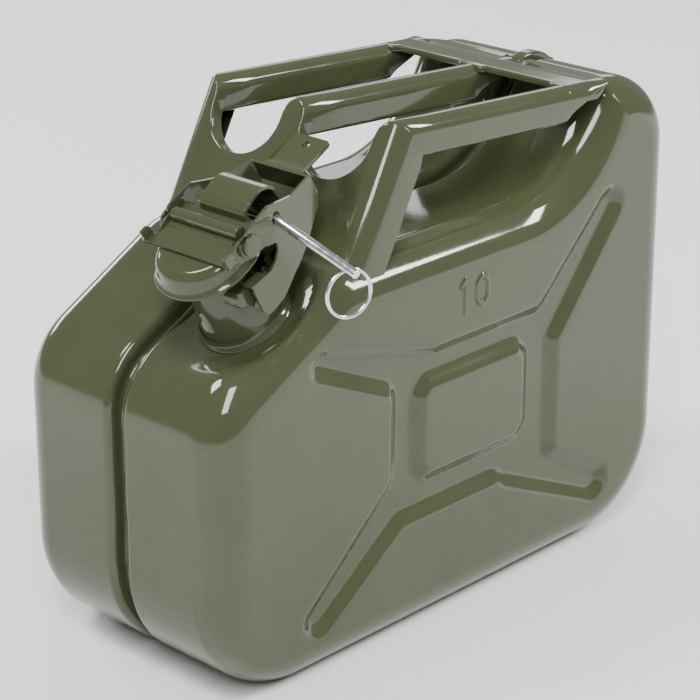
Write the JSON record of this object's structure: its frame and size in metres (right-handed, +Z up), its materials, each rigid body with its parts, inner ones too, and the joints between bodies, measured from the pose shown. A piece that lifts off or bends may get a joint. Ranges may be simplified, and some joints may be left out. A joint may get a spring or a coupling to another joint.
{
  "type": "pressed-steel fuel can",
  "caption": "Upright pressed-steel fuel can with side stiffening pressings, a bar handle and an offset neck closed by a cam-lever cap with a locking pin.",
  "frame": {"origin": "middle of the whole object's footprint, at the base; the can's own middle plane is at y = +18.7 mm because the locking pin sticks out on the -Y side", "axes": "+X to the rear of the can (the neck faces -X), +Y to the can's left side, +Z up"},
  "size_m": [0.345, 0.1854, 0.2745],
  "materials": {
    "olive_enamel": "gloss",
    "zinc_plate": "bright zinc plate",
    "tinned_steel": "drawn tinned tube",
    "gasket_rubber": "matt"
  },
  "bodies": {
    "can": {"left_body_half": "olive_enamel", "right_body_half": "olive_enamel", "seam_weld": "olive_enamel", "handle_bar_left": "olive_enamel", "handle_bar_middle": "olive_enamel", "handle_bar_right": "olive_enamel", "handle_front_plate": "olive_enamel", "handle_rear_plate": "olive_enamel", "seam_cover": "olive_enamel", "vent_pipe": "tinned_steel", "vent_pipe_clip": "tinned_steel", "neck_tube": "olive_enamel", "neck_foot_ring": "olive_enamel", "neck_lug_left": "olive_enamel", "neck_lug_right": "olive_enamel", "hinge_bracket": "olive_enamel", "hinge_pin": "olive_enamel"},
    "cap": {"cap_shell": "olive_enamel", "cap_gasket": "gasket_rubber", "cap_strap": "olive_enamel", "pivot_rivet_left": "olive_enamel", "pivot_rivet_right": "olive_enamel"},
    "lever": {"closure_lever": "olive_enamel"},
    "pin": {"locking_pin": "zinc_plate"},
    "ring": {"split_ring": "zinc_plate"}
  },
  "joints": [
    {"name": "cap_hinge", "type": "hinge", "parent": "can", "child": "cap", "pos_m": [-0.10559, -0.01352, 0.23695], "axis": [0, 1, 0], "range_deg": [0, 90]},
    {"name": "lever_pivot", "type": "hinge", "parent": "cap", "child": "lever", "pos_m": [-0.13598, -0.01352, 0.23419], "axis": [0, -1, 0], "range_deg": [0, 120]},
    {"name": "pin_pull", "type": "slide", "parent": "lever", "child": "pin", "axis": [0, -0.9613, -0.2756], "range_m": [0, 0.03]},
    {"name": "ring_swing", "type": "hinge", "parent": "pin", "child": "ring", "pos_m": [-0.1184, -0.0869, 0.22903], "axis": [1, 0, 0], "range_deg": [-150, 80]}
  ],
  "couplings": [
    {"joint": "cap_hinge", "follows": "lever_pivot", "ratio": 0.75}
  ]
}
